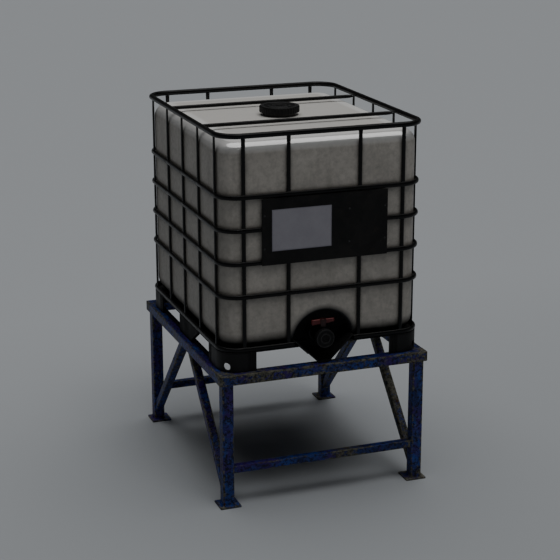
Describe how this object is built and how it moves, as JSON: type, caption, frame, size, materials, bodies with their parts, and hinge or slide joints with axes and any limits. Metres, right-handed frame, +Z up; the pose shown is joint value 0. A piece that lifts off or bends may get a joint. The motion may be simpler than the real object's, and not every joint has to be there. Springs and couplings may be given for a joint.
{
  "type": "intermediate bulk container",
  "caption": "Blow-moulded liquid bottle in a black tubular cage on a plastic pallet, with screw lid, label plate and front outlet valve, raised on a braced steel stand.",
  "frame": {"origin": "on the floor under the middle of the stand", "axes": "+Z up; the outlet valve and the label face -Y; +X to the right when facing the valve"},
  "size_m": [1.036, 1.249, 1.742],
  "materials": {
    "stand_paint": "weathered dark blue paint, chipped to grey-brown metal and rust",
    "cage_coating": "satin black coating on tube",
    "pallet_plastic": "dusty black moulded plastic",
    "bottle_plastic": "milky blow-moulded plastic, slightly soiled",
    "cap_plastic": "black moulded plastic",
    "valve_plastic": "black moulded plastic",
    "handle_plastic": "red moulded plastic",
    "seal_rubber": "matt black rubber",
    "plate_paint": "scuffed black painted sheet",
    "label_film": "blank grey film"
  },
  "bodies": {
    "tote_and_stand": {"bottle": "bottle_plastic", "cage_base_ring": "cage_coating", "cage_post_front_1": "cage_coating", "cage_post_front_2": "cage_coating", "cage_post_front_3": "cage_coating", "cage_post_front_4": "cage_coating", "cage_post_left_1": "cage_coating", "cage_post_left_2": "cage_coating", "cage_post_left_3": "cage_coating", "cage_post_left_4": "cage_coating", "cage_post_left_5": "cage_coating", "cage_post_rear_1": "cage_coating", "cage_post_rear_2": "cage_coating", "cage_post_rear_3": "cage_coating", "cage_post_rear_4": "cage_coating", "cage_post_right_1": "cage_coating", "cage_post_right_2": "cage_coating", "cage_post_right_3": "cage_coating", "cage_post_right_4": "cage_coating", "cage_post_right_5": "cage_coating", "cage_ring_1": "cage_coating", "cage_ring_2": "cage_coating", "cage_ring_3": "cage_coating", "cage_ring_4": "cage_coating", "cage_top_bar_front": "cage_coating", "cage_top_bar_rear": "cage_coating", "cage_top_ring": "cage_coating", "label_panel": "label_film", "label_plate": "plate_paint", "pallet_deck": "pallet_plastic", "pallet_foot_front_left": "pallet_plastic", "pallet_foot_front_right": "pallet_plastic", "pallet_foot_rear_left": "pallet_plastic", "pallet_foot_rear_right": "pallet_plastic", "pallet_runner_left": "pallet_plastic", "pallet_runner_middle": "pallet_plastic", "pallet_runner_right": "pallet_plastic", "pallet_valve_guard": "pallet_plastic", "stand_beam_front": "stand_paint", "stand_beam_left": "stand_paint", "stand_beam_rear": "stand_paint", "stand_beam_right": "stand_paint", "stand_brace_front_left": "stand_paint", "stand_brace_front_right": "stand_paint", "stand_brace_rear_left": "stand_paint", "stand_brace_rear_right": "stand_paint", "stand_leg_front_left": "stand_paint", "stand_leg_front_right": "stand_paint", "stand_leg_rear_left": "stand_paint", "stand_leg_rear_right": "stand_paint", "stand_rail_front": "stand_paint", "stand_rail_rear": "stand_paint", "valve_body": "valve_plastic"},
    "cap_seal": {"cap_gasket": "seal_rubber"},
    "fill_cap": {"fill_cap": "cap_plastic"},
    "vent_plug": {"vent_plug": "cap_plastic"},
    "valve": {"valve_disc": "valve_plastic", "valve_handle": "handle_plastic"},
    "outlet_seal": {"outlet_seal": "seal_rubber"},
    "outlet_cap": {"outlet_cap": "valve_plastic"}
  },
  "joints": [
    {"name": "gasket_lift", "type": "slide", "parent": "tote_and_stand", "child": "cap_seal", "axis": [0, 0, 1], "range_m": [0, 0.0106]},
    {"name": "cap_turn", "type": "hinge", "parent": "cap_seal", "child": "fill_cap", "pos_m": [0, 0, 1.712], "axis": [0, 0, 1], "range_deg": [0, 540]},
    {"name": "vent_turn", "type": "hinge", "parent": "fill_cap", "child": "vent_plug", "pos_m": [0, 0, 1.7395], "axis": [0, 0, 1], "range_deg": [0, 360]},
    {"name": "valve_turn", "type": "hinge", "parent": "tote_and_stand", "child": "valve", "pos_m": [0, -0.571, 0.84], "axis": [0, 0, 1], "range_deg": [0, 90]},
    {"name": "seal_slide", "type": "slide", "parent": "tote_and_stand", "child": "outlet_seal", "axis": [0, -1, 0], "range_m": [0, 0.0121]},
    {"name": "outlet_turn", "type": "hinge", "parent": "outlet_seal", "child": "outlet_cap", "pos_m": [0, -0.61, 0.765], "axis": [0, -1, 0], "range_deg": [0, 720]}
  ],
  "couplings": [
    {"joint": "gasket_lift", "follows": "cap_turn", "m_per_rad": 0.001114},
    {"joint": "seal_slide", "follows": "outlet_turn", "m_per_rad": 0.000955}
  ]
}
